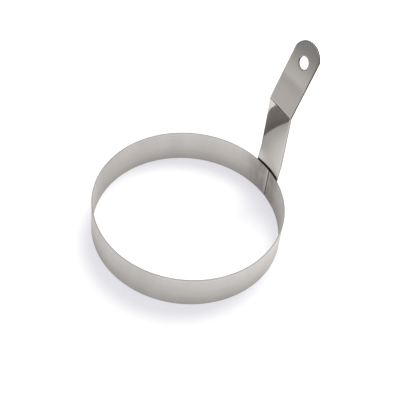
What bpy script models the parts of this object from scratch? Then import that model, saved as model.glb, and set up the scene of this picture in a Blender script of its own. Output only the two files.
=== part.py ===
"""Egg ring: a rolled steel band, closed by a bent strap handle that is spot-welded across its butt seam.

Run with blender --background --python part.py, or from the text editor. Metres, +Z up. The ring stands on
z = 0 with its handle towards +X, and the origin is the middle of the object's footprint box.
"""

import math

import bmesh
import bpy
from mathutils import Matrix, Vector

# Band
RING_DIAMETER = 0.127  # outside
BAND_HEIGHT = 0.0254
BAND_THICKNESS = 0.0008
BAND_EDGE_RADIUS = 0.0002
SEAM_GAP = 0.0004
SEAM_OFFSET = 0.0023  # from the strap's middle line, towards -Y

# Handle strap
STRAP_WIDTH = 0.023
STRAP_THICKNESS = 0.001
STRAP_EDGE_RADIUS = 0.00015
TAB_LIFT = 0.0044  # the tab's end above the base
TAB_CORNER_RADIUS = 0.002
RISE = 0.0576  # from the rim to the crease
FLATTENING = 0.014  # height above the rim in which the strap goes from the ring's curve to flat
GRIP_LENGTH = 0.0499  # from the crease to the tip
GRIP_ANGLE = math.radians(18.7)  # the grip's lean away from the ring
BEND_RADIUS = 0.0015  # the hollow side of the crease
TIP_EXTRA_RADIUS = 0.0007  # the tip's radius, over half the strap's width
HANG_HOLE_DIAMETER = 0.0081
HANG_HOLE_FROM_TIP = 0.0145
END_OFFSET = 0.0004  # the tip and its hole are struck this far off the middle line, towards -Y

# Spot welds, between the strap's tab and the band's two ends
SEAT_GAP = 0.0003  # between the tab, which is curved like the band, and the band
WELD_DIAMETER = 0.004
WELD_FROM_SIDE = 0.00575  # from the strap's long edges, seen along +X
WELD_FROM_END = 0.0049  # from the rim and from the tab's end
WELD_BITE_BAND = 0.00025  # how deep a nugget reaches into each sheet
WELD_BITE_STRAP = 0.00035
WELD_EDGE_RADIUS = 0.0002
WELD_CLEARANCE = 0.00015
DENT_DEPTH = 0.00012  # mark that an electrode leaves on the outer faces
ELECTRODE_CROWN = 0.02
ELECTRODE_DIAMETER = 0.006

# Faces along curves
BAND_STEPS = 144
EDGE_STEPS = 3
BEND_STEPS = 6
TAB_COLUMNS = 10
FLATTENING_STEPS = 8
TIP_STEPS = 28
CORNER_STEPS = 5
HOLE_STEPS = 40
WELD_STEPS = 28
CROWN_STEPS = 4

SHARP_ANGLE = math.radians(40)
MERGE_DISTANCE = 1e-6  # merges the points of a curve's caps and sides
PAST = 0.002  # how far a cutter stands proud of what it cuts

RING_RADIUS = RING_DIAMETER / 2
BORE_RADIUS = RING_RADIUS - BAND_THICKNESS
SEAM_AZIMUTH = -math.asin(SEAM_OFFSET / RING_RADIUS)
STRAP_FACE_X = RING_RADIUS + SEAT_GAP  # on the strap's middle line
CREASE_RADIUS = BEND_RADIUS + STRAP_THICKNESS  # the crease's rounded side, which faces the ring
CREASE_SETBACK = CREASE_RADIUS * math.tan(GRIP_ANGLE / 2)  # from where the crease's flats would meet
TAB_LENGTH = BAND_HEIGHT - TAB_LIFT
BEND_START = TAB_LENGTH + RISE - CREASE_SETBACK
BEND_LENGTH = (BEND_RADIUS + STRAP_THICKNESS / 2) * GRIP_ANGLE
BLANK_LENGTH = BEND_START + BEND_LENGTH + GRIP_LENGTH - CREASE_SETBACK
WELD_AZIMUTH = math.asin((STRAP_WIDTH / 2 - WELD_FROM_SIDE) / STRAP_FACE_X)
WELD_LEVELS = {"upper": BAND_HEIGHT - WELD_FROM_END, "lower": TAB_LIFT + WELD_FROM_END}
WELD_SIDES = {"left": WELD_AZIMUTH, "right": -WELD_AZIMUTH}


def clear_scene():
    for obj in list(bpy.data.objects):
        bpy.data.objects.remove(obj)


def new_collection(name, parent):
    collection = bpy.data.collections.new(name)
    parent.children.link(collection)
    return collection


def steel(name, color, roughness):
    material = bpy.data.materials.new(name)
    material.use_nodes = True
    shader = material.node_tree.nodes["Principled BSDF"]
    shader.inputs["Base Color"].default_value = (*color, 1)
    shader.inputs["Metallic"].default_value = 1
    shader.inputs["Roughness"].default_value = roughness
    material.diffuse_color = (*color, 1)
    return material


def add_object(name, mesh, collection, parent, material=None):
    obj = bpy.data.objects.new(name, mesh)
    obj.parent = parent
    collection.objects.link(obj)
    if material and not mesh.materials:
        mesh.materials.append(material)
    return obj


def as_cutter(obj):
    obj.hide_render = True
    obj.display_type = "WIRE"
    return obj


def arc(centre, radius, start, end, steps):
    """Points on a circle in a plane, from one angle to another, ends included."""
    angles = [start + (end - start) * step / steps for step in range(steps + 1)]
    return [(centre[0] + radius * math.cos(a), centre[1] + radius * math.sin(a)) for a in angles]


def rounded_rectangle(low, high, radius, steps):
    """Corner points of a rectangle with round corners, clockwise from its top right one."""
    quarter = math.pi / 2
    corners = [(high[0], high[1]), (high[0], low[1]), (low[0], low[1]), (low[0], high[1])]
    inward = [(-1, -1), (-1, 1), (1, 1), (1, -1)]
    points = []
    for turn, (corner, way) in enumerate(zip(corners, inward)):
        centre = (corner[0] + radius * way[0], corner[1] + radius * way[1])
        start = quarter * (1 - turn)
        points += arc(centre, radius, start, start - quarter, steps)
    return points


def profile_mesh(name, points, closed):
    """A line through points given as (radius, height), in the XZ plane."""
    mesh = bpy.data.meshes.new(name)
    bm = bmesh.new()
    verts = [bm.verts.new((radius, 0, height)) for radius, height in points]
    for first, second in zip(verts, verts[1:]):
        bm.edges.new((first, second))
    if closed:
        bm.edges.new((verts[-1], verts[0]))
    bm.to_mesh(mesh)
    bm.free()
    return mesh


def turn_profile(obj, steps):
    screw = obj.modifiers.new("Turn", "SCREW")
    screw.steps = steps
    screw.render_steps = steps
    screw.use_merge_vertices = True
    screw.merge_threshold = MERGE_DISTANCE
    screw.use_smooth_shade = True


def cut(obj, cutters):
    boolean = obj.modifiers.new("Cut " + cutters.name, "BOOLEAN")
    boolean.operation = "DIFFERENCE"
    boolean.operand_type = "COLLECTION"
    boolean.collection = cutters
    boolean.solver = "EXACT"


def even_shading(obj):
    """Keeps the flats flat to the eye beside narrow rounded edges."""
    normals = obj.modifiers.new("Even shading", "WEIGHTED_NORMAL")
    normals.keep_sharp = True


def make_band(collection, parent, material, cutters):
    """A flat strip rolled into a hoop: its section with rounded edges, turned and then slit at the seam."""
    section = rounded_rectangle((BORE_RADIUS, 0), (RING_RADIUS, BAND_HEIGHT), BAND_EDGE_RADIUS, EDGE_STEPS)
    band = add_object("ring_band", profile_mesh("ring_band", section, True), collection, parent, material)
    turn_profile(band, BAND_STEPS)
    for group in cutters:
        cut(band, group)
    even_shading(band)


def make_seam_cutter(collection, parent):
    """The slit that parts the band's two sheared ends."""
    mesh = bpy.data.meshes.new("seam_slit")
    depth = BAND_THICKNESS + 2 * PAST
    height = BAND_HEIGHT + 2 * PAST
    middle = Vector((RING_RADIUS - BAND_THICKNESS / 2, 0, BAND_HEIGHT / 2))
    bm = bmesh.new()
    placed = Matrix.Translation(middle) @ Matrix.Diagonal((depth, SEAM_GAP, height, 1))
    bmesh.ops.create_cube(bm, size=1, matrix=Matrix.Rotation(SEAM_AZIMUTH, 4, "Z") @ placed)
    bm.to_mesh(mesh)
    bm.free()
    as_cutter(add_object("seam_slit", mesh, collection, parent))


def strap_blank():
    """The flat strap before it is bent, as a mesh: X across, Y along from the tab's end, Z through it."""
    half = STRAP_WIDTH / 2
    quarter = math.pi / 2
    corner = half - TAB_CORNER_RADIUS
    # The tip is one arc, from side to side.
    tip_radius = half + TIP_EXTRA_RADIUS
    left_end = math.acos((half + END_OFFSET) / tip_radius)
    right_end = math.acos((END_OFFSET - half) / tip_radius)
    outline = (
        arc((corner, TAB_CORNER_RADIUS), TAB_CORNER_RADIUS, -quarter, 0, CORNER_STEPS)
        + arc((-END_OFFSET, BLANK_LENGTH - tip_radius), tip_radius, left_end, right_end, TIP_STEPS)
        + arc((-corner, TAB_CORNER_RADIUS), TAB_CORNER_RADIUS, 2 * quarter, 3 * quarter, CORNER_STEPS)
    )
    hole_centre = (-END_OFFSET, BLANK_LENGTH - HANG_HOLE_FROM_TIP)
    hole = arc(hole_centre, HANG_HOLE_DIAMETER / 2, 0, 2 * math.pi, HOLE_STEPS)[:-1]

    curve = bpy.data.curves.new("strap_blank", "CURVE")
    curve.dimensions = "2D"
    curve.fill_mode = "BOTH"
    curve.extrude = STRAP_THICKNESS / 2
    for points in (outline, hole):
        spline = curve.splines.new("POLY")
        spline.points.add(len(points) - 1)
        for point, (x, y) in zip(spline.points, points):
            point.co = (x, y, 0, 1)
        spline.use_cyclic_u = True
    flat = bpy.data.objects.new("strap_blank", curve)
    bpy.context.scene.collection.objects.link(flat)
    evaluated = flat.evaluated_get(bpy.context.evaluated_depsgraph_get())
    mesh = bpy.data.meshes.new_from_object(evaluated)
    bpy.data.objects.remove(flat)
    return mesh


def bent(point):
    """Where a point of the flat strap lies once its grip is bent back, away from the ring."""
    across, along, through = point
    depth = through + STRAP_THICKNESS / 2
    turn = GRIP_ANGLE * min(max((along - BEND_START) / BEND_LENGTH, 0), 1)
    beyond = max(along - BEND_START - BEND_LENGTH, 0)
    radius = CREASE_RADIUS - depth
    return Vector(
        (
            STRAP_FACE_X + CREASE_RADIUS - radius * math.cos(turn) + beyond * math.sin(turn),
            across,
            TAB_LIFT + min(along, BEND_START) + radius * math.sin(turn) + beyond * math.cos(turn),
        )
    )


def hugging(point):
    """Where a point of the bent strap lies once its tab is curved to the band; higher up it stays flat."""
    x, y, z = point
    share = min(max((z - BAND_HEIGHT) / FLATTENING, 0), 1)
    curved = 1 - share**2 * (3 - 2 * share)
    return Vector((x - curved * (x - math.sqrt(x**2 - y**2)), y, z))


def split_faces(bm, faces, point, normal):
    """Cuts these faces along a plane."""
    geom = list(faces) + list({edge for face in faces for edge in face.edges})
    bmesh.ops.bisect_plane(bm, geom=geom, dist=MERGE_DISTANCE, plane_co=point, plane_no=normal)


def make_strap(collection, parent, material, cutters):
    """The handle: one deburred flat blank, creased on a press brake, with its tab curved to the band."""
    mesh = strap_blank()
    mesh.name = "handle_strap"
    bm = bmesh.new()
    bm.from_mesh(mesh)
    bmesh.ops.remove_doubles(bm, verts=bm.verts, dist=MERGE_DISTANCE)
    bmesh.ops.dissolve_limit(bm, angle_limit=math.radians(1), verts=bm.verts, edges=bm.edges)
    rows = [TAB_LENGTH + FLATTENING * step / FLATTENING_STEPS for step in range(FLATTENING_STEPS + 1)]
    rows += [BEND_START + BEND_LENGTH * step / BEND_STEPS for step in range(BEND_STEPS + 1)]
    for along in rows:
        split_faces(bm, bm.faces, (0, along, 0), (0, 1, 0))
    for column in range(1, TAB_COLUMNS):
        across = STRAP_WIDTH * (column / TAB_COLUMNS - 0.5)
        curved = [face for face in bm.faces if face.calc_center_median().y < TAB_LENGTH + FLATTENING]
        split_faces(bm, curved, (across, 0, 0), (1, 0, 0))
    for vert in bm.verts:
        vert.co = hugging(bent(vert.co))
    bmesh.ops.recalc_face_normals(bm, faces=bm.faces)
    bm.to_mesh(mesh)
    bm.free()
    mesh.shade_smooth()
    mesh.set_sharp_from_angle(angle=SHARP_ANGLE)

    strap = add_object("handle_strap", mesh, collection, parent, material)
    deburr = strap.modifiers.new("Deburr", "BEVEL")
    deburr.width = STRAP_EDGE_RADIUS
    deburr.segments = 2
    deburr.limit_method = "ANGLE"
    deburr.angle_limit = SHARP_ANGLE
    for group in cutters:
        cut(strap, group)
    even_shading(strap)


def weld_placement(side, level, radius, facing=1):
    """Points a turned shape's axis away from the ring's axis (or to it, facing -1) at one weld."""
    around = Matrix.Rotation(WELD_SIDES[side], 4, "Z")
    outward = Matrix.Translation((radius, 0, WELD_LEVELS[level]))
    return around @ outward @ Matrix.Rotation(facing * math.pi / 2, 4, "Y")


def electrode_mesh():
    """A welding electrode's domed end, which points down its axis and sinks to the dent's depth."""
    half_angle = math.asin(ELECTRODE_DIAMETER / 2 / ELECTRODE_CROWN)
    quarter = math.pi / 2
    centre = (0, ELECTRODE_CROWN - DENT_DEPTH)
    dome = arc(centre, ELECTRODE_CROWN, half_angle - quarter, -quarter, CROWN_STEPS)
    shank = [(0, PAST), (ELECTRODE_DIAMETER / 2, PAST)]
    return profile_mesh("electrode", shank + dome, False)


def make_weld_cutters(pockets, inner_dents, outer_dents, parent):
    """Pockets shared by both sheets, and the electrodes' dents in the bore and on the strap's back."""
    pocket_from = RING_RADIUS - WELD_BITE_BAND
    pocket_to = STRAP_FACE_X + WELD_BITE_STRAP
    radius = WELD_DIAMETER / 2 + WELD_CLEARANCE
    length = pocket_to - pocket_from
    pocket = profile_mesh("weld_pocket", [(0, length), (radius, length), (radius, 0), (0, 0)], False)
    electrode = electrode_mesh()
    for side in WELD_SIDES:
        for level in WELD_LEVELS:
            name = f"{side}_{level}"
            hollow = add_object("pocket_" + name, pocket, pockets, parent)
            hollow.matrix_local = weld_placement(side, level, pocket_from)
            inner = add_object("inner_dent_" + name, electrode, inner_dents, parent)
            inner.matrix_local = weld_placement(side, level, BORE_RADIUS, facing=-1)
            outer = add_object("outer_dent_" + name, electrode, outer_dents, parent)
            outer.matrix_local = weld_placement(side, level, STRAP_FACE_X + STRAP_THICKNESS)
            for cutter in (hollow, inner, outer):
                turn_profile(as_cutter(cutter), WELD_STEPS)


def make_welds(collection, parent, material):
    """The four nuggets of fused metal, each a short drum that fills its pocket from sheet to sheet."""
    start = RING_RADIUS - WELD_BITE_BAND + WELD_CLEARANCE
    length = STRAP_FACE_X + WELD_BITE_STRAP - WELD_CLEARANCE - start
    radius = WELD_DIAMETER / 2
    inset = radius - WELD_EDGE_RADIUS
    quarter = math.pi / 2
    top = arc((inset, length - WELD_EDGE_RADIUS), WELD_EDGE_RADIUS, quarter, 0, EDGE_STEPS)
    bottom = arc((inset, WELD_EDGE_RADIUS), WELD_EDGE_RADIUS, 0, -quarter, EDGE_STEPS)
    nugget = profile_mesh("weld_nugget", [(0, length)] + top + bottom + [(0, 0)], False)
    for side in WELD_SIDES:
        for level in WELD_LEVELS:
            weld = add_object(f"weld_nugget_{side}_{level}", nugget, collection, parent, material)
            weld.matrix_local = weld_placement(side, level, start)
            turn_profile(weld, WELD_STEPS)


def footprint_middle():
    """X of the footprint box's middle, from the ring's axis: the handle's tip reaches past the ring."""
    back_edge = GRIP_LENGTH - STRAP_EDGE_RADIUS
    reach = STRAP_FACE_X + back_edge * math.sin(GRIP_ANGLE) + STRAP_THICKNESS * math.cos(GRIP_ANGLE)
    return (reach - RING_RADIUS) / 2


def main():
    clear_scene()
    root = bpy.context.scene.collection
    parts = new_collection("egg_ring", root)
    cutters = new_collection("egg_ring_cutters", root)
    band_cutters = new_collection("band_cutters", cutters)
    strap_cutters = new_collection("strap_cutters", cutters)
    pockets = new_collection("weld_pockets", cutters)

    ring_axis = bpy.data.objects.new("ring_axis", None)
    ring_axis.location.x = -footprint_middle()
    parts.objects.link(ring_axis)

    band_steel = steel("band_steel", (0.62, 0.60, 0.58), 0.22)
    strap_steel = steel("strap_steel", (0.60, 0.585, 0.565), 0.16)
    weld_steel = steel("weld_steel", (0.45, 0.43, 0.41), 0.45)

    make_seam_cutter(band_cutters, ring_axis)
    make_weld_cutters(pockets, band_cutters, strap_cutters, ring_axis)
    make_band(parts, ring_axis, band_steel, (band_cutters, pockets))
    make_strap(parts, ring_axis, strap_steel, (strap_cutters, pockets))
    make_welds(parts, ring_axis, weld_steel)


main()
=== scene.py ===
"""Looks of an egg ring: a rolled stainless band and its bent strap handle, standing on a white table.

Metres, +Z up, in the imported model's frame: the ring stands on z = 0 and its handle is towards +X.
"""

import math

import bmesh
import bpy
import numpy as np
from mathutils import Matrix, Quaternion, Vector


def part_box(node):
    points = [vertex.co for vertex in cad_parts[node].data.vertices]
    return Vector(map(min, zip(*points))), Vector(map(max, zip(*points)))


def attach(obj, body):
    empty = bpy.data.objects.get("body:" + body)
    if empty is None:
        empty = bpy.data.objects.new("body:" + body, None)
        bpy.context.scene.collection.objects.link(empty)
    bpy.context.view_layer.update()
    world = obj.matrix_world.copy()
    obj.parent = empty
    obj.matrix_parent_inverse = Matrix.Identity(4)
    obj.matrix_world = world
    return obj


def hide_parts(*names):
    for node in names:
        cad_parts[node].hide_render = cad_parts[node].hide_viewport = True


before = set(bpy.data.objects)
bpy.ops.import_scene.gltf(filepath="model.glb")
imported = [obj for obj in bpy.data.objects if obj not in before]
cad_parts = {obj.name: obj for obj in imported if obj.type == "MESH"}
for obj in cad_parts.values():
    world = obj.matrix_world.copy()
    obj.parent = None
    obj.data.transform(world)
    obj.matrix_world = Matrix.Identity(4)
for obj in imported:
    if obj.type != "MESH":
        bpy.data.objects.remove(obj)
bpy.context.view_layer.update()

QUARTER = math.pi / 2  # of a turn

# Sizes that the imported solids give
band_low, band_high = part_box("ring_band")
strap_low, strap_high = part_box("handle_strap")
RING_RADIUS = (band_high.y - band_low.y) / 2
AXIS_X = band_low.x + RING_RADIUS
BAND_HEIGHT = band_high.z
STRAP_WIDTH = strap_high.y - strap_low.y
TAB_LIFT = strap_low.z
WELD_NODES = [name for name in sorted(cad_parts) if name.startswith("weld_nugget")]

# Band
BAND_THICKNESS = 0.0008
BAND_EDGE_RADIUS = 0.0002
LEAST_BAND_EDGE_RADIUS = BAND_EDGE_RADIUS / 4  # where the ends' own rounding draws the section in
SEAM_GAP = 0.0004
SEAM_OFFSET = 0.0023  # to -Y of the handle's middle line
SEAM_EDGE_RADIUS = 0.0003
SEAM_SHADE_REACH = SEAM_GAP / 2 + SEAM_EDGE_RADIUS / 3  # from the seam's middle
COVER_MARGIN = 0.0012  # from the tab's foot to where the wall behind it gets painted shade
SEAM_HIGHLIGHT_WIDTH = 0.0021  # painted highlight: a bright line beside the seam, where less of the welds' real tint is laid, and the share of the tint that is left in it
SEAM_HIGHLIGHT_TINT = 0.35
RIM_CUT_GAIN = 1.4  # how soon the rims' rounding counts as a cut edge
BORE_RADIUS = RING_RADIUS - BAND_THICKNESS
SEAM_AZIMUTH = -math.asin(SEAM_OFFSET / RING_RADIUS)

# Handle strap
SEAT_GAP = 0.0003
STRAP_FACE_X = RING_RADIUS + SEAT_GAP  # from the ring's axis
STRAP_THICKNESS = 0.001
STRAP_EDGE_RADIUS = 0.00018
TAB_CORNER_RADIUS = 0.002
RISE = 0.0576  # from the rim to the crease
FLATTENING = 0.014  # above the rim, where the strap is flat again
GRIP_LENGTH = 0.0499
GRIP_ANGLE = math.radians(18.7)
BEND_RADIUS = 0.0015
TIP_EXTRA_RADIUS = 0.0007  # so that the tip's arc meets the sides at a faint corner
HANG_HOLE_RADIUS = 0.00405
HANG_HOLE_FROM_TIP = 0.0145
END_OFFSET = 0.0004  # how far to -Y the tip and the hole are struck
TIP_RADIUS = STRAP_WIDTH / 2 + TIP_EXTRA_RADIUS
CREASE_RADIUS = BEND_RADIUS + STRAP_THICKNESS
CREASE_SETBACK = CREASE_RADIUS * math.tan(GRIP_ANGLE / 2)
BEND_START = BAND_HEIGHT - TAB_LIFT + RISE - CREASE_SETBACK
BEND_LENGTH = (BEND_RADIUS + STRAP_THICKNESS / 2) * GRIP_ANGLE
BEND_END = BEND_START + BEND_LENGTH
BLANK_LENGTH = BEND_END + GRIP_LENGTH - CREASE_SETBACK
# Painted shade: a thin dark line along the foot of the crease, this wide
CREASE_SHADE_WIDTH = 0.0003

# The riser isn't dead true: its face looks a little upward and to +Y, from the rim to the crease
RISER_TILT = math.radians(2.2)
RISER_YAW = math.radians(5.0)
LEAN_MARGIN = 0.0002  # the lean ends this far below the crease
LEAN_FADE = 0.0006  # and fades out over this height
RISER_FRONT = 0.9  # a normal's least part towards the ring's axis, there and on the tab's front
TAB_FRONT = 0.5

# Tumbled edges of the strap, where its faces fall away a little before the cut edge
ROLL_WIDTH = 0.0018
HOLE_ROLL_WIDTH = ROLL_WIDTH * 0.6
ROLL_DEPTH = 0.00006
ROLL_POWERS = (1.5, 2.5)  # how the roll steepens, across the strap and through it
ROLL_STOP = 1.2  # in radii of the edge's rounding, which takes over there
GRIP_EDGE_SHADE = 0.95  # painted shade on the grip's cut edges, in place of the dark things they reflect
CUT_EDGE = (0.8, 3)  # squareness to the strap's faces below which an edge looks cut, and its gain
SHADED_EDGE = (0.99, 12)  # the same for that painted shade

# Marks of the welding electrodes: all but pressed out of the bore, plainer on the strap's back
DENT_RADIUS = 0.0022
DENT_LIP = 0.12  # the lip's height, as a share of the mark's depth
DENT_LIP_PLACE = 1.15  # in radii of the mark, as is the width
DENT_LIP_WIDTH = 0.25
BORE_DENT_DEPTH = 0.000012
BACK_DENT_DEPTH = 0.0001
BACK_LEVEL = STRAP_THICKNESS * 0.9  # points further through the strap than this are on its back
BORE_TINT_REACH = 0.012  # how far the welds' dull tint spreads on the band, and on the strap
BACK_TINT_REACH = 0.0032

# Faces along curves and across flats
EDGE_STEPS = 4
BAND_LEVELS = 26
CORNER_STEPS = 8
TIP_STEPS = 48
HOLE_STEPS = 72
BEND_STEPS = 8
ROLL_STEPS = 6
FINE_UNTIL = math.radians(11)  # from the seam, where the band's sections are close together
FINE_ANGLE = math.radians(0.22)
COARSE_ANGLE = math.radians(0.9)
STRAP_SPACING = 0.001
COLUMN_SPACING = 0.0012
CREASE_ZONE = 0.002  # to each side of the crease, where the strap's rows are close together
BELOW_CREASE_SPACING = 0.0002
ABOVE_CREASE_SPACING = 0.0004
CUT_TOLERANCE = 1e-7
TINY = 1e-30  # stands for a length of zero where something is divided by it

# Steel
FOOT_SHADE_TONE = (0.25, 0.235, 0.215)  # painted shade: darker towards the foot, where the low wall reflects the shaded table
WELD_TONE = (0.34, 0.31, 0.288)
# Painted shade in the seam, where the strap covers the band, along the crease and on the grip's cut edges
CREVICE_SHADE_TONE = (0.03, 0.028, 0.026)
SHADE_GLOSS = 0.1  # the painted shade in crevices and on cut edges hardly shines
GRAIN_DETAIL = 3.0
SMUDGE_SCALE = 45.0
SMUDGE_DETAIL = 2.0
SMUDGE_STRETCH = (1, 1, 0.3)  # smudges and streaks are longer upward
MOTTLE_RANGE = (0.7, 1.3)  # of grain and smudges together
STREAK_SCALE = 320.0  # upright streaks in the welds' tint
STREAK_NOISE = (0.35, 0.65)
STREAK_LEVELS = (0.85, 1.35)  # what the tint is multiplied by at the ends of that range
ANISOTROPY_TURN = 0.25  # of a full turn, so that highlights spread across the grain
FUSED_TONES = ((0.30, 0.28, 0.26), (0.5, 0.48, 0.46))
FUSED_ROUGHNESS = (0.35, 0.6)
FUSED_GRAIN_SCALE = 2500.0

# The photograph's camera, from its two rims and the handle's outline
PHOTO_PIXELS = 400
SENSOR_WIDTH = 36.0
LENS = 90.0
CAMERA_ELEVATION = math.radians(50.19)
CAMERA_DISTANCE = 0.6651
CAMERA_ROLL = math.radians(6.43)
HANDLE_TURN = math.radians(36.55)  # the handle's bearing, from the picture's right hand side
RING_CENTRE_PIXEL = (187.33, 214.40)

# Table
FLOOR_SIZE = 6.0
FLOOR_CELLS = 8
FAR_SHADE_TONE = 0.6  # painted shade: the table's tone away from the ring, as the metal sees it, in place of its light falling off
FAR_REACH = (0.3, 1.2)
OPEN_LEVEL = 1.08  # in full light, as the camera sees it: a little over white
SHADE = (0.575, 0.575, 0.50)  # how much of that is lit, and so can be in shadow
SHADE_REACH = (0.1, 0.3)  # where the table's own shading gives way to plain white
MIRRORED_SHADE = 0.75  # as the metal sees it: what is lit, and what is always there
MIRRORED_GLOW = 0.39
TWICE_MIRRORED = 0.6  # table and studio, in a reflection of a reflection
TABLE_SHADE_BEARING = math.radians(166.5)  # bearing along which the table gets painted shade, as the grip shows
TABLE_SHADE_SPAN = 0.6
TABLE_SHADE_TONES = (  # painted shade with one step up, at distances from the ring's axis
    (0.13, 1.0),
    (0.24, 0.49),
    (0.31, 0.49),
    (0.361, 0.41),
    (0.366, 0.59),
    (0.41, 0.54),
    (0.467, 0.40),
    (0.53, 0.30),
)

# Light
WHITE = (1, 1, 1, 1)
SOFT_COLOR = (0.97, 0.985, 1.0, 1)
SKY_HEIGHTS = (-0.1, 0.9)  # on the sky's unit sphere, from the first tones below to the second
ROOM_TONES = (0.2, 0.56)  # light from all round, as the table gets it
SKY_TONES = (1.05, 1.0)  # the studio's screens, as the metal sees them
WINDOW_BEARING = math.radians(40) - HANDLE_TURN
WINDOW_WIDTH = (math.cos(math.radians(65)), math.cos(math.radians(10)))
WINDOW_LEVEL = 1.35
KEY_BEARING = math.radians(68) - HANDLE_TURN
KEY_ELEVATION = math.radians(58)
KEY_DISTANCE = 1.2
KEY_SIZE = 0.85
KEY_POWER = 13.5
KEY_COLOR = (1.0, 0.985, 0.965)


def arc(centre, radius, start, end, steps):
    """Points on a circle in a plane, from one angle to another, ends included."""
    angles = [start + (end - start) * step / steps for step in range(steps + 1)]
    return [(centre[0] + radius * math.cos(angle), centre[1] + radius * math.sin(angle)) for angle in angles]


def spaced(start, end, spacing):
    """Even values from start to end, ends included, at most a given spacing apart."""
    steps = max(1, math.ceil(abs(end - start) / spacing))
    return [start + (end - start) * step / steps for step in range(steps + 1)]


def towards(bearing, elevation=0.0):
    """Unit vector to a bearing from +X and an elevation above the horizon."""
    flat = math.cos(elevation)
    return Vector((flat * math.cos(bearing), flat * math.sin(bearing), math.sin(elevation)))


def add_piece(name, bm, material, slot, *nodes):
    """Makes an object of a bmesh, which rides on the root body and stands for the named nodes.

    Returns its mesh.
    """
    mesh = bpy.data.meshes.new(name)
    bm.to_mesh(mesh)
    bm.free()
    mesh.materials.append(material)
    mesh.shade_smooth()
    piece = bpy.data.objects.new(name, mesh)
    bpy.context.scene.collection.objects.link(piece)
    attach(piece, "root")
    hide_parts(*nodes)
    return mesh


def dent(distance):
    """Share of an electrode mark's depth at a distance from its middle: a soft bowl with a faint lip."""
    share = distance / DENT_RADIUS
    bowl = (1 - share**2) ** 2 if share < 1 else 0.0
    lip = DENT_LIP * math.exp(-(((share - DENT_LIP_PLACE) / DENT_LIP_WIDTH) ** 2))
    return bowl - lip


def weld_places():
    """(azimuth, height) of each spot weld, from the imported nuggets."""
    places = []
    for name in WELD_NODES:
        low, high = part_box(name)
        middle = (low + high) / 2
        places.append((math.atan2(middle.y, middle.x - AXIS_X), middle.z))
    return places


def weld_tint(distances, reach):
    """How much each point is tinted, from its distances to the welds, of which the nearest counts."""
    return np.exp(-((np.min(distances, axis=0) / reach) ** 2))


def point_places(mesh):
    """Where a mesh's points are, one row each."""
    return np.array([vertex.co for vertex in mesh.vertices])


def area_normals(mesh):
    """Unit normals of a mesh's points, each face counting by its area, so that flats stay flat."""
    normals = np.zeros((len(mesh.vertices), 3))
    for face in mesh.polygons:
        weighted = np.array(face.normal) * face.area
        for index in face.vertices:
            normals[index] += weighted
    return normals / np.maximum(np.linalg.norm(normals, axis=1), TINY)[:, None]


def set_normals(mesh, normals):
    """Shades a mesh by one normal at each point."""
    mesh.normals_split_custom_set_from_vertices([tuple(normal) for normal in normals])


def mark_points(mesh, name, values):
    """Stores one number at each point, which the piece's material reads."""
    attribute = mesh.attributes.new(name, "FLOAT", "POINT")
    attribute.data.foreach_set("value", np.array(values, np.float32))


# Band


def band_section(inset):
    """(radius, height) points round the band's cut section, which starts at the foot of the bore."""
    radius = max(BAND_EDGE_RADIUS - inset, LEAST_BAND_EDGE_RADIUS)
    inner, outer = BORE_RADIUS + inset, RING_RADIUS - inset
    bottom, top = inset, BAND_HEIGHT - inset
    wall = spaced(bottom + radius, top - radius, BAND_HEIGHT / BAND_LEVELS)[1:-1]
    return (
        arc((inner + radius, bottom + radius), radius, 3 * QUARTER, 2 * QUARTER, EDGE_STEPS)
        + [(inner, z) for z in wall]
        + arc((inner + radius, top - radius), radius, 2 * QUARTER, QUARTER, EDGE_STEPS)
        + arc((outer - radius, top - radius), radius, QUARTER, 0, EDGE_STEPS)
        + [(outer, z) for z in reversed(wall)]
        + arc((outer - radius, bottom + radius), radius, 0, -QUARTER, EDGE_STEPS)
    )


def band_stations():
    """(angle from the seam, inset) of each section round the ring, from one sheared end to the other."""
    rounding = []
    for step in range(EDGE_STEPS + 1):
        turn = QUARTER * step / EDGE_STEPS
        along = SEAM_EDGE_RADIUS * (1 - math.sin(turn))
        inset = SEAM_EDGE_RADIUS * (1 - math.cos(turn))
        rounding.append(((SEAM_GAP / 2 + along) / RING_RADIUS, inset))
    rounding.reverse()
    start = (SEAM_GAP / 2 + SEAM_EDGE_RADIUS) / RING_RADIUS
    fine = spaced(start, FINE_UNTIL, FINE_ANGLE)[1:]
    coarse = spaced(FINE_UNTIL, math.pi, COARSE_ANGLE)[1:]
    half = rounding + [(angle, 0.0) for angle in fine + coarse]
    return half + [(2 * math.pi - angle, inset) for angle, inset in reversed(half[:-1])]


def mark_band(mesh, normals, welds):
    """Marks the band's cut rims, its painted shade and painted highlight, and the heat of the welds, for its
    material.
    """
    points = point_places(mesh)
    azimuths = np.arctan2(points[:, 1], points[:, 0] - AXIS_X)
    past_seam = (azimuths - SEAM_AZIMUTH) * RING_RADIUS
    mark_points(mesh, "sheared", np.clip(np.abs(normals[:, 2]) * RIM_CUT_GAIN, 0, 1))

    # Painted shade where the strap covers the outer wall and the rim, and between the sheared ends.
    in_seam = np.abs(past_seam) < SEAM_SHADE_REACH
    outside = np.hypot(points[:, 0] - AXIS_X, points[:, 1]) > BORE_RADIUS + BAND_EDGE_RADIUS
    by_strap = (np.abs(points[:, 1]) < STRAP_WIDTH / 2) & (points[:, 0] > AXIS_X) & outside
    covered = by_strap & (points[:, 2] > TAB_LIFT + COVER_MARGIN)
    mark_points(mesh, "crevice_shade", in_seam | covered)

    distances = [np.hypot((azimuths - azimuth) * RING_RADIUS, points[:, 2] - z) for azimuth, z in welds]
    # Painted highlight: a strip beside the seam gets less of the welds' tint, so that it shows as a bright
    # line.
    seam_highlight = (past_seam > 0) & (past_seam < SEAM_HIGHLIGHT_WIDTH)
    mark_points(mesh, "weld_tint", weld_tint(distances, BORE_TINT_REACH) * np.where(seam_highlight, SEAM_HIGHLIGHT_TINT, 1))


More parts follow.
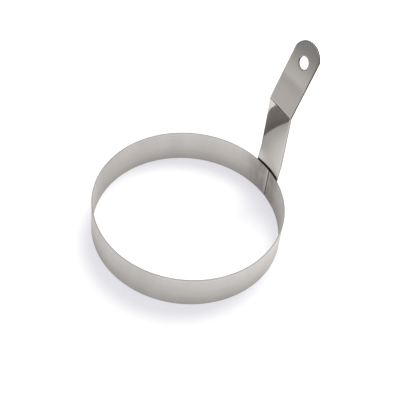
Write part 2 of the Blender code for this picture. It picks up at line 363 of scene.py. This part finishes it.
def make_band(material):
    """A flat strip rolled into a hoop, its sheared ends rounded, with the electrodes' marks in its bore."""
    welds = weld_places()
    bm = bmesh.new()
    rings = []
    for from_seam, inset in band_stations():
        angle = SEAM_AZIMUTH + from_seam
        ring = []
        for radius, height in band_section(inset):
            in_bore = radius < BORE_RADIUS + BAND_EDGE_RADIUS / 2
            if in_bore and inset == 0:
                for azimuth, z in welds:
                    along = BORE_RADIUS * math.remainder(angle - azimuth, 2 * math.pi)
                    radius += BORE_DENT_DEPTH * dent(math.hypot(along, height - z))
            place = (AXIS_X + radius * math.cos(angle), radius * math.sin(angle), height)
            ring.append(bm.verts.new(place))
        rings.append(ring)
    for first, second in zip(rings, rings[1:]):
        for index in range(len(first)):
            after = (index + 1) % len(first)
            bm.faces.new((first[index], first[after], second[after], second[index]))
    bm.faces.new(rings[0][::-1])
    bm.faces.new(rings[-1])
    bmesh.ops.recalc_face_normals(bm, faces=bm.faces)
    mesh = add_piece("rolled_band", bm, material, "band_steel", "ring_band")
    normals = area_normals(mesh)
    set_normals(mesh, normals)
    mark_band(mesh, normals, welds)


# Strap


def bent(across, along, through):
    """Where a point of the flat strap lies once its grip is bent back; through is 0 on the ring's side."""
    turn = GRIP_ANGLE * min(max((along - BEND_START) / BEND_LENGTH, 0), 1)
    beyond = max(along - BEND_END, 0)
    radius = CREASE_RADIUS - through
    return (
        STRAP_FACE_X + CREASE_RADIUS - radius * math.cos(turn) + beyond * math.sin(turn),
        across,
        TAB_LIFT + min(along, BEND_START) + radius * math.sin(turn) + beyond * math.cos(turn),
    )


def hugging(x, y, z):
    """Curves the tab to the band, up to the rim; a little higher the strap is flat."""
    share = min(max((z - BAND_HEIGHT) / FLATTENING, 0), 1)
    curved = 1 - share**2 * (3 - 2 * share)
    return Vector((AXIS_X + x - curved * (x - math.sqrt(x**2 - y**2)), y, z))


def tip_ends(inset):
    """Where the tip's arc meets the side at +Y and the one at -Y, as angles round its centre."""
    half = STRAP_WIDTH / 2 - inset
    radius = TIP_RADIUS - inset
    return math.acos((half + END_OFFSET) / radius), math.acos((END_OFFSET - half) / radius)


def side_stations(end_angle):
    """Places along one of the strap's straight sides, close together at the crease."""
    shoulder = BLANK_LENGTH - TIP_RADIUS * (1 - math.sin(end_angle))
    zone_start, zone_end = BEND_START - CREASE_ZONE, BEND_END + CREASE_ZONE
    return (
        spaced(TAB_CORNER_RADIUS, zone_start, STRAP_SPACING)[1:-1]
        + spaced(zone_start, BEND_START, BELOW_CREASE_SPACING)[:-1]
        + spaced(BEND_START, BEND_END, BEND_LENGTH / BEND_STEPS)
        + spaced(BEND_END, zone_end, ABOVE_CREASE_SPACING)[1:]
        + spaced(zone_end, shoulder - ROLL_WIDTH / 2, STRAP_SPACING)[1:]
    )


def strap_outline(inset):
    """The flat strap's outline, drawn in by an inset, anticlockwise from its foot: always as many points."""
    half = STRAP_WIDTH / 2 - inset
    corner_across = STRAP_WIDTH / 2 - TAB_CORNER_RADIUS
    corner_radius = TAB_CORNER_RADIUS - inset
    tip_centre = (-END_OFFSET, BLANK_LENGTH - TIP_RADIUS)
    first_end, second_end = tip_ends(0)
    return (
        arc((corner_across, TAB_CORNER_RADIUS), corner_radius, -QUARTER, 0, CORNER_STEPS)
        + [(half, along) for along in side_stations(first_end)]
        + arc(tip_centre, TIP_RADIUS - inset, *tip_ends(inset), TIP_STEPS)
        + [(-half, along) for along in reversed(side_stations(second_end))]
        + arc((-corner_across, TAB_CORNER_RADIUS), corner_radius, 2 * QUARTER, 3 * QUARTER, CORNER_STEPS)
    )


def hole_outline(inset):
    """The hang hole's outline, which grows with the inset."""
    centre = (-END_OFFSET, BLANK_LENGTH - HANG_HOLE_FROM_TIP)
    return arc(centre, HANG_HOLE_RADIUS + inset, 2 * math.pi, 0, HOLE_STEPS)[:-1]


def edge_profile(roll_width):
    """(inset, through) from the ring's side of the strap, over the cut edge, to its back."""
    radius = STRAP_EDGE_RADIUS
    across_power, through_power = ROLL_POWERS
    front = []
    for step in range(ROLL_STEPS):
        share = step / ROLL_STEPS
        inset = roll_width * (1 - share) ** across_power
        if inset > radius * ROLL_STOP:
            front.append((inset, ROLL_DEPTH * share**through_power))
    front += arc((radius, ROLL_DEPTH + radius), radius, -QUARTER, -2 * QUARTER, EDGE_STEPS)
    return front + [(inset, STRAP_THICKNESS - through) for inset, through in reversed(front)]


def loft(bm, outline, profile):
    """Loops of points, one for each step of the edge's profile, joined by faces. Returns first and last."""
    loops = []
    for inset, through in profile:
        loops.append([bm.verts.new((x, y, through)) for x, y in outline(inset)])
    for first, second in zip(loops, loops[1:]):
        for index in range(len(first)):
            after = (index + 1) % len(first)
            bm.faces.new((first[index], second[index], second[after], first[after]))
    return loops[0], loops[-1]


def loop_edges(bm, loop):
    """The edges round a loop of points, made where there are none."""
    edges = []
    for index, vert in enumerate(loop):
        other = loop[(index + 1) % len(loop)]
        edges.append(bm.edges.get((vert, other)) or bm.edges.new((vert, other)))
    return edges


def only_faces(geometry):
    """The faces among faces, edges and points."""
    return [part for part in geometry if isinstance(part, bmesh.types.BMFace)]


def cut_faces(bm, faces, place, normal):
    """Splits faces along a plane."""
    edges = {edge for face in faces for edge in face.edges}
    verts = {vert for face in faces for vert in face.verts}
    geometry = list(faces) + list(edges) + list(verts)
    cut = bmesh.ops.bisect_plane(bm, geom=geometry, dist=CUT_TOLERANCE, plane_co=place, plane_no=normal)
    return only_faces(cut["geom"])


def fill_faces(bm, outer_loops, hole_loops):
    """The strap's two flat faces round the hole, in rows and columns that are fine enough to bend."""
    side = side_stations(tip_ends(0)[0])
    stations = side + spaced(side[-1], BLANK_LENGTH - ROLL_WIDTH, STRAP_SPACING)[1:]
    flat_half = STRAP_WIDTH / 2 - ROLL_WIDTH
    columns = spaced(-flat_half, flat_half, COLUMN_SPACING)[1:-1]
    for outer, hole in zip(outer_loops, hole_loops):
        edges = loop_edges(bm, outer) + loop_edges(bm, hole)
        faces = only_faces(bmesh.ops.triangle_fill(bm, use_beauty=True, edges=edges)["geom"])
        for along in stations:
            faces = cut_faces(bm, faces, (0, along, 0), (0, 1, 0))
        for across in columns:
            faces = cut_faces(bm, faces, (across, 0, 0), (1, 0, 0))


def edge_share(normals, lean, start, gain):
    """0 on the faces of a strap that leans back so far, and up to 1 on its edges.

    A normal's squareness is 1 on the faces and 0 on the edges; the share grows by gain below start.
    """
    squareness = np.abs(normals[:, 0] * math.cos(lean) - normals[:, 2] * math.sin(lean))
    return np.clip((start - squareness) * gain, 0, 1)


def mark_strap(mesh, normals, crease_shade, welds):
    """Marks the strap's cut edges, its painted shade and the heat of the welds, for its material."""
    points = point_places(mesh)
    mark_points(mesh, "sheared", edge_share(normals, GRIP_ANGLE / 2, *CUT_EDGE))

    # Painted shade where the tab faces the band, in the crease, and on the grip's edges.
    behind_band = (points[:, 2] < BAND_HEIGHT) & (normals[:, 0] < -TAB_FRONT)
    on_grip = points[:, 2] > TAB_LIFT + BEND_END
    shaded_edge = GRIP_EDGE_SHADE * edge_share(normals, GRIP_ANGLE, *SHADED_EDGE) * on_grip
    mark_points(mesh, "crevice_shade", np.maximum(np.maximum(behind_band, crease_shade), shaded_edge))

    distances = [np.hypot(points[:, 1] - y, points[:, 2] - z - TAB_LIFT) for y, z in welds]
    mark_points(mesh, "weld_tint", weld_tint(distances, BACK_TINT_REACH))


def lean_normals(mesh, normals):
    """The riser's front normals, turned by its tilt and yaw; all other normals as they are."""
    heights = point_places(mesh)[:, 2]
    lean_end = TAB_LIFT + BEND_START - LEAN_MARGIN
    share = np.clip((lean_end - heights) / LEAN_FADE, 0, 1) * (normals[:, 0] < -RISER_FRONT)
    leaned = normals.copy()
    leaned[:, 1] += math.tan(RISER_YAW) * share
    leaned[:, 2] += math.tan(RISER_TILT) * share
    return leaned / np.linalg.norm(leaned, axis=1)[:, None]


def make_strap(material):
    """The handle: a flat strap with tumbled edges and a punched hole, creased once, its tab curved."""
    bm = bmesh.new()
    outer_loops = loft(bm, strap_outline, edge_profile(ROLL_WIDTH))
    hole_loops = loft(bm, hole_outline, edge_profile(HOLE_ROLL_WIDTH))
    fill_faces(bm, outer_loops, hole_loops)
    back_radius = STRAP_FACE_X + STRAP_THICKNESS
    welds = [(back_radius * math.sin(azimuth), z - TAB_LIFT) for azimuth, z in weld_places()]
    crease_shade = []
    for vert in bm.verts:
        across, along, through = vert.co
        if through > BACK_LEVEL:
            for y, z in welds:
                through -= BACK_DENT_DEPTH * dent(math.hypot(across - y, along - z))
        on_front = 1.0 if through < ROLL_DEPTH else 0.0
        # Painted shade: a thin dark line on the front, just below the crease.
        from_crease = along - BEND_START + CREASE_SHADE_WIDTH
        crease_shade.append(on_front * math.exp(-((from_crease / CREASE_SHADE_WIDTH) ** 2)))
        vert.co = hugging(*bent(across, along, through))
    bmesh.ops.recalc_face_normals(bm, faces=bm.faces)
    mesh = add_piece("bent_strap", bm, material, "strap_steel", "handle_strap")
    normals = area_normals(mesh)
    mark_strap(mesh, normals, crease_shade, welds)
    set_normals(mesh, lean_normals(mesh, normals))


# Materials


def add_node(tree, kind, inputs=(), **settings):
    """A shader node with its settings; inputs are (socket, value or the output that feeds it)."""
    node = tree.nodes.new(kind)
    for name, value in settings.items():
        setattr(node, name, value)
    for key, value in inputs:
        if isinstance(value, bpy.types.NodeSocket):
            tree.links.new(value, node.inputs[key])
        else:
            node.inputs[key].default_value = value
    return node


def calculate(tree, operation, first, second):
    """One step of arithmetic on numbers or outputs."""
    return add_node(tree, "ShaderNodeMath", [(0, first), (1, second)], operation=operation).outputs[0]


def multiply(tree, product, *factors):
    """The product of numbers or outputs."""
    for factor in factors:
        product = calculate(tree, "MULTIPLY", product, factor)
    return product


def vector_math(tree, operation, *vectors):
    """The node's outputs, Vector and Value."""
    return add_node(tree, "ShaderNodeVectorMath", enumerate(vectors), operation=operation).outputs


def remap(tree, value, from_range, to_range, smooth=False):
    """A value carried from one range to another, held at the ends."""
    inputs = [
        ("Value", value),
        ("From Min", from_range[0]),
        ("From Max", from_range[1]),
        ("To Min", to_range[0]),
        ("To Max", to_range[1]),
    ]
    kind = "SMOOTHSTEP" if smooth else "LINEAR"
    return add_node(tree, "ShaderNodeMapRange", inputs, interpolation_type=kind).outputs[0]


def blend_values(tree, share, first, second):
    """From first to second, as share goes from 0 to 1. The node's sockets 2 and 3 take numbers."""
    return add_node(tree, "ShaderNodeMix", [(0, share), (2, first), (3, second)]).outputs[0]


def blend_colors(tree, share, first, second):
    """The same with colours, as three numbers or an output. The node's sockets 6 and 7 take colours."""
    ends = [value if isinstance(value, bpy.types.NodeSocket) else (*value, 1) for value in (first, second)]
    inputs = [(0, share), (6, ends[0]), (7, ends[1])]
    return add_node(tree, "ShaderNodeMix", inputs, data_type="RGBA").outputs[2]


def noise(tree, place, scale, detail):
    """Soft noise about 0.5, finer as scale grows."""
    inputs = [("Vector", place), ("Scale", scale), ("Detail", detail)]
    return add_node(tree, "ShaderNodeTexNoise", inputs).outputs["Fac"]


def scaled(tree, place, scale):
    """A place, scaled along each axis."""
    return add_node(tree, "ShaderNodeMapping", [("Vector", place), ("Scale", scale)]).outputs[0]


def object_place(tree):
    """Where a point is on its object."""
    return add_node(tree, "ShaderNodeTexCoord").outputs["Object"]


def point_mark(tree, name):
    """What mark_points stored under a name."""
    return add_node(tree, "ShaderNodeAttribute", attribute_name=name).outputs["Fac"]


def new_material(name):
    """A material with its node tree and its shader."""
    material = bpy.data.materials.new(name)
    material.use_nodes = True
    tree = material.node_tree
    return material, tree, tree.nodes["Principled BSDF"]


def steel_material(
    name,
    tones,
    foot_shade,
    weld_stain,
    cut_tone,
    grazing,
    roughness,
    cut_roughness,
    grain_scale,
    grain_depth,
    anisotropy=0.0,
):
    """Rolled stainless sheet: fine grain along the roll, faint smudges and weld tint, duller cut edges,
    painted shade towards the foot and in marked crevices.
    """
    material, tree, shader = new_material(name)
    place = object_place(tree)
    grain = noise(tree, scaled(tree, place, grain_scale), 1.0, GRAIN_DETAIL)
    upright = scaled(tree, place, SMUDGE_STRETCH)
    smudge = noise(tree, upright, SMUDGE_SCALE, SMUDGE_DETAIL)
    streaks = remap(tree, noise(tree, upright, STREAK_SCALE, SMUDGE_DETAIL), STREAK_NOISE, STREAK_LEVELS)
    sheared = point_mark(tree, "sheared")
    crevice_shade = point_mark(tree, "crevice_shade")
    height = add_node(tree, "ShaderNodeSeparateXYZ", [(0, place)]).outputs["Z"]

    mottle = calculate(tree, "ADD", grain, smudge)
    face = blend_colors(tree, remap(tree, mottle, MOTTLE_RANGE, (0, 1)), *tones)
    # Painted shade: the colour darkens towards the band's foot.
    face = blend_colors(tree, remap(tree, height, (0, BAND_HEIGHT), (foot_shade, 0)), face, FOOT_SHADE_TONE)
    stain = multiply(tree, point_mark(tree, "weld_tint"), streaks, weld_stain)
    face = blend_colors(tree, stain, face, WELD_TONE)
    color = blend_colors(tree, sheared, face, cut_tone)
    # Painted shade: dark and dull, and no longer metal, where crevice_shade is marked.
    color = blend_colors(tree, crevice_shade, color, CREVICE_SHADE_TONE)
    tree.links.new(color, shader.inputs["Base Color"])
    tree.links.new(calculate(tree, "SUBTRACT", 1.0, crevice_shade), shader.inputs["Metallic"])
    shader.inputs["Specular IOR Level"].default_value = SHADE_GLOSS
    shader.inputs["Specular Tint"].default_value = (grazing, grazing, grazing, 1)

    face_roughness = remap(tree, mottle, MOTTLE_RANGE, roughness)
    rough = blend_values(tree, sheared, face_roughness, cut_roughness)
    tree.links.new(rough, shader.inputs["Roughness"])

    bump = add_node(tree, "ShaderNodeBump", [("Height", grain), ("Strength", 1.0), ("Distance", grain_depth)])
    tree.links.new(bump.outputs[0], shader.inputs["Normal"])
    if anisotropy:
        shader.inputs["Anisotropic"].default_value = anisotropy
        shader.inputs["Anisotropic Rotation"].default_value = ANISOTROPY_TURN
        tangent = add_node(tree, "ShaderNodeTangent", direction_type="RADIAL", axis="Z").outputs[0]
        tree.links.new(tangent, shader.inputs["Tangent"])
    return material


def fused_material():
    """Fused metal of the spot welds: dull and slightly mottled."""
    material, tree, shader = new_material("fused_steel")
    shader.inputs["Metallic"].default_value = 1
    mottle = noise(tree, object_place(tree), FUSED_GRAIN_SCALE, GRAIN_DETAIL)
    tree.links.new(blend_colors(tree, mottle, *FUSED_TONES), shader.inputs["Base Color"])
    tree.links.new(remap(tree, mottle, (0, 1), FUSED_ROUGHNESS), shader.inputs["Roughness"])
    return material


def dress_welds(material):
    """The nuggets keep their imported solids."""
    for name in WELD_NODES:
        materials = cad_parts[name].data.materials
        materials.clear()
        materials.append(material)


# Table, light and camera


def mirror_level(tree):
    """1 as the metal sees the studio, and less where one mirror shows it to another."""
    depth = add_node(tree, "ShaderNodeLightPath").outputs["Glossy Depth"]
    return remap(tree, depth, (1, 2), (1, TWICE_MIRRORED))


def table_shade_tone(tree, place):
    """Painted shade: how light the table is along the bearing on which the grip reflects it."""
    along = vector_math(tree, "DOT_PRODUCT", place, towards(TABLE_SHADE_BEARING))["Value"]
    ramp = add_node(tree, "ShaderNodeValToRGB", [("Fac", calculate(tree, "DIVIDE", along, TABLE_SHADE_SPAN))])
    stops = ramp.color_ramp.elements
    stops[0].position = TABLE_SHADE_TONES[0][0] / TABLE_SHADE_SPAN
    stops[1].position = TABLE_SHADE_TONES[-1][0] / TABLE_SHADE_SPAN
    for where, _ in TABLE_SHADE_TONES[1:-1]:
        stops.new(where / TABLE_SHADE_SPAN)
    for stop, (_, tone) in zip(stops, TABLE_SHADE_TONES):
        stop.color = (tone, tone, tone, 1)
    return ramp.outputs["Color"]


def table_material():
    """White with cool shadows; away from the handle it greys with painted shade, but not to the camera's eye.
    """
    material, tree, shader = new_material("table")
    tree.nodes.remove(shader)
    place = object_place(tree)
    away = vector_math(tree, "LENGTH", place)["Value"]
    # Painted shade: as the metal sees it, the table darkens away from the ring and along one bearing.
    far = remap(tree, away, FAR_REACH, (1, FAR_SHADE_TONE), smooth=True)
    tone = multiply(tree, table_shade_tone(tree, place), far, mirror_level(tree))

    seen = add_node(tree, "ShaderNodeLightPath").outputs["Is Camera Ray"]
    glow = tuple(OPEN_LEVEL - part for part in SHADE)
    lit_color = blend_colors(tree, seen, multiply(tree, tone, MIRRORED_SHADE), SHADE)
    glow_color = blend_colors(tree, seen, multiply(tree, tone, MIRRORED_GLOW), glow)
    glow_level = remap(tree, away, SHADE_REACH, (1, 1 / min(glow)))
    lit = add_node(tree, "ShaderNodeBsdfDiffuse", [("Color", lit_color)])
    glowing = add_node(tree, "ShaderNodeEmission", [("Color", glow_color), ("Strength", glow_level)])
    both = add_node(tree, "ShaderNodeAddShader", [(0, lit.outputs[0]), (1, glowing.outputs[0])])
    tree.links.new(both.outputs[0], tree.nodes["Material Output"].inputs["Surface"])
    return material


def make_floor():
    """The table, which is stage and no part of the model."""
    bm = bmesh.new()
    bmesh.ops.create_grid(bm, x_segments=FLOOR_CELLS, y_segments=FLOOR_CELLS, size=FLOOR_SIZE / 2)
    mesh = bpy.data.meshes.new("table")
    bm.to_mesh(mesh)
    bm.free()
    mesh.materials.append(table_material())
    floor = bpy.data.objects.new("table", mesh)
    floor.location.x = AXIS_X
    bpy.context.scene.collection.objects.link(floor)


def make_world():
    """A plain studio: white to the camera; its soft light is strongest on the right."""
    world = bpy.data.worlds.new("studio")
    bpy.context.scene.world = world
    world.use_nodes = True
    tree = world.node_tree
    tree.nodes.clear()
    direction = add_node(tree, "ShaderNodeTexCoord").outputs["Generated"]
    height = add_node(tree, "ShaderNodeSeparateXYZ", [(0, direction)]).outputs["Z"]
    room = remap(tree, height, SKY_HEIGHTS, ROOM_TONES)
    sky = remap(tree, height, SKY_HEIGHTS, SKY_TONES)
    level_direction = vector_math(tree, "MULTIPLY", direction, (1, 1, 0))["Vector"]
    level_direction = vector_math(tree, "NORMALIZE", level_direction)["Vector"]
    facing = vector_math(tree, "DOT_PRODUCT", level_direction, towards(WINDOW_BEARING))["Value"]
    window = remap(tree, facing, WINDOW_WIDTH, (1, WINDOW_LEVEL), smooth=True)
    mirrored = multiply(tree, sky, window, mirror_level(tree))
    path = add_node(tree, "ShaderNodeLightPath").outputs
    strength = blend_values(tree, path["Is Glossy Ray"], room, mirrored)
    soft = add_node(tree, "ShaderNodeBackground", [("Color", SOFT_COLOR), ("Strength", strength)])
    white = add_node(tree, "ShaderNodeBackground", [("Color", WHITE), ("Strength", 1.0)])
    sides = [(0, path["Is Camera Ray"]), (1, soft.outputs[0]), (2, white.outputs[0])]
    mixed = add_node(tree, "ShaderNodeMixShader", sides)
    output = add_node(tree, "ShaderNodeOutputWorld", [("Surface", mixed.outputs[0])])
    output.is_active_output = True


def make_key_light():
    """One large soft box, above the far right side, which throws the ring's shadow on the table."""
    lamp = bpy.data.lights.new("soft_box", "AREA")
    lamp.shape = "DISK"
    lamp.size = KEY_SIZE
    lamp.energy = KEY_POWER
    lamp.color = KEY_COLOR
    light = bpy.data.objects.new("soft_box", lamp)
    away = towards(KEY_BEARING, KEY_ELEVATION)
    light.location = Vector((AXIS_X, 0, 0)) + away * KEY_DISTANCE
    light.rotation_mode = "QUATERNION"
    light.rotation_quaternion = away.to_track_quat("Z", "Y")
    light.visible_glossy = False
    bpy.context.scene.collection.objects.link(light)


def make_camera():
    """Looks at the ring's centre, rolls, and then swings until the centre is at its pixel."""
    camera = bpy.data.objects.new("camera", bpy.data.cameras.new("camera"))
    camera.data.sensor_width = SENSOR_WIDTH
    camera.data.lens = LENS
    back = towards(-QUARTER - HANDLE_TURN, CAMERA_ELEVATION)
    camera.location = Vector((AXIS_X, 0, BAND_HEIGHT / 2)) + back * CAMERA_DISTANCE
    focal_pixels = LENS / SENSOR_WIDTH * PHOTO_PIXELS
    middle = PHOTO_PIXELS / 2
    sight_x = (RING_CENTRE_PIXEL[0] - middle) / focal_pixels
    sight_y = (middle - RING_CENTRE_PIXEL[1]) / focal_pixels
    looking = back.to_track_quat("Z", "Y") @ Quaternion((0, 0, 1), CAMERA_ROLL)
    swing = Vector((0, 0, -1)).rotation_difference(Vector((sight_x, sight_y, -1)))
    camera.rotation_mode = "QUATERNION"
    camera.rotation_quaternion = looking @ swing.inverted()
    bpy.context.scene.collection.objects.link(camera)
    bpy.context.scene.camera = camera


make_camera()
make_floor()
make_world()
make_key_light()
make_band(
    steel_material(
        "rolled_steel",
        tones=((0.60, 0.571, 0.55), (0.725, 0.69, 0.665)),
        foot_shade=0.35,
        weld_stain=0.85,
        cut_tone=(0.54, 0.52, 0.505),
        grazing=0.5,
        roughness=(0.40, 0.46),
        cut_roughness=0.6,
        grain_scale=(30, 30, 2600),
        grain_depth=4e-6,
        anisotropy=0.9,
    )
)
make_strap(
    steel_material(
        "bright_steel",
        tones=((0.533, 0.496, 0.462), (0.551, 0.534, 0.514)),
        foot_shade=0.0,
        weld_stain=0.6,
        cut_tone=(0.22, 0.21, 0.20),
        grazing=0.8,
        roughness=(0.05, 0.08),
        cut_roughness=0.5,
        grain_scale=(60, 2600, 60),
        grain_depth=5e-7,
    )
)
dress_welds(fused_material())

bpy.context.scene.view_settings.view_transform = "Standard"
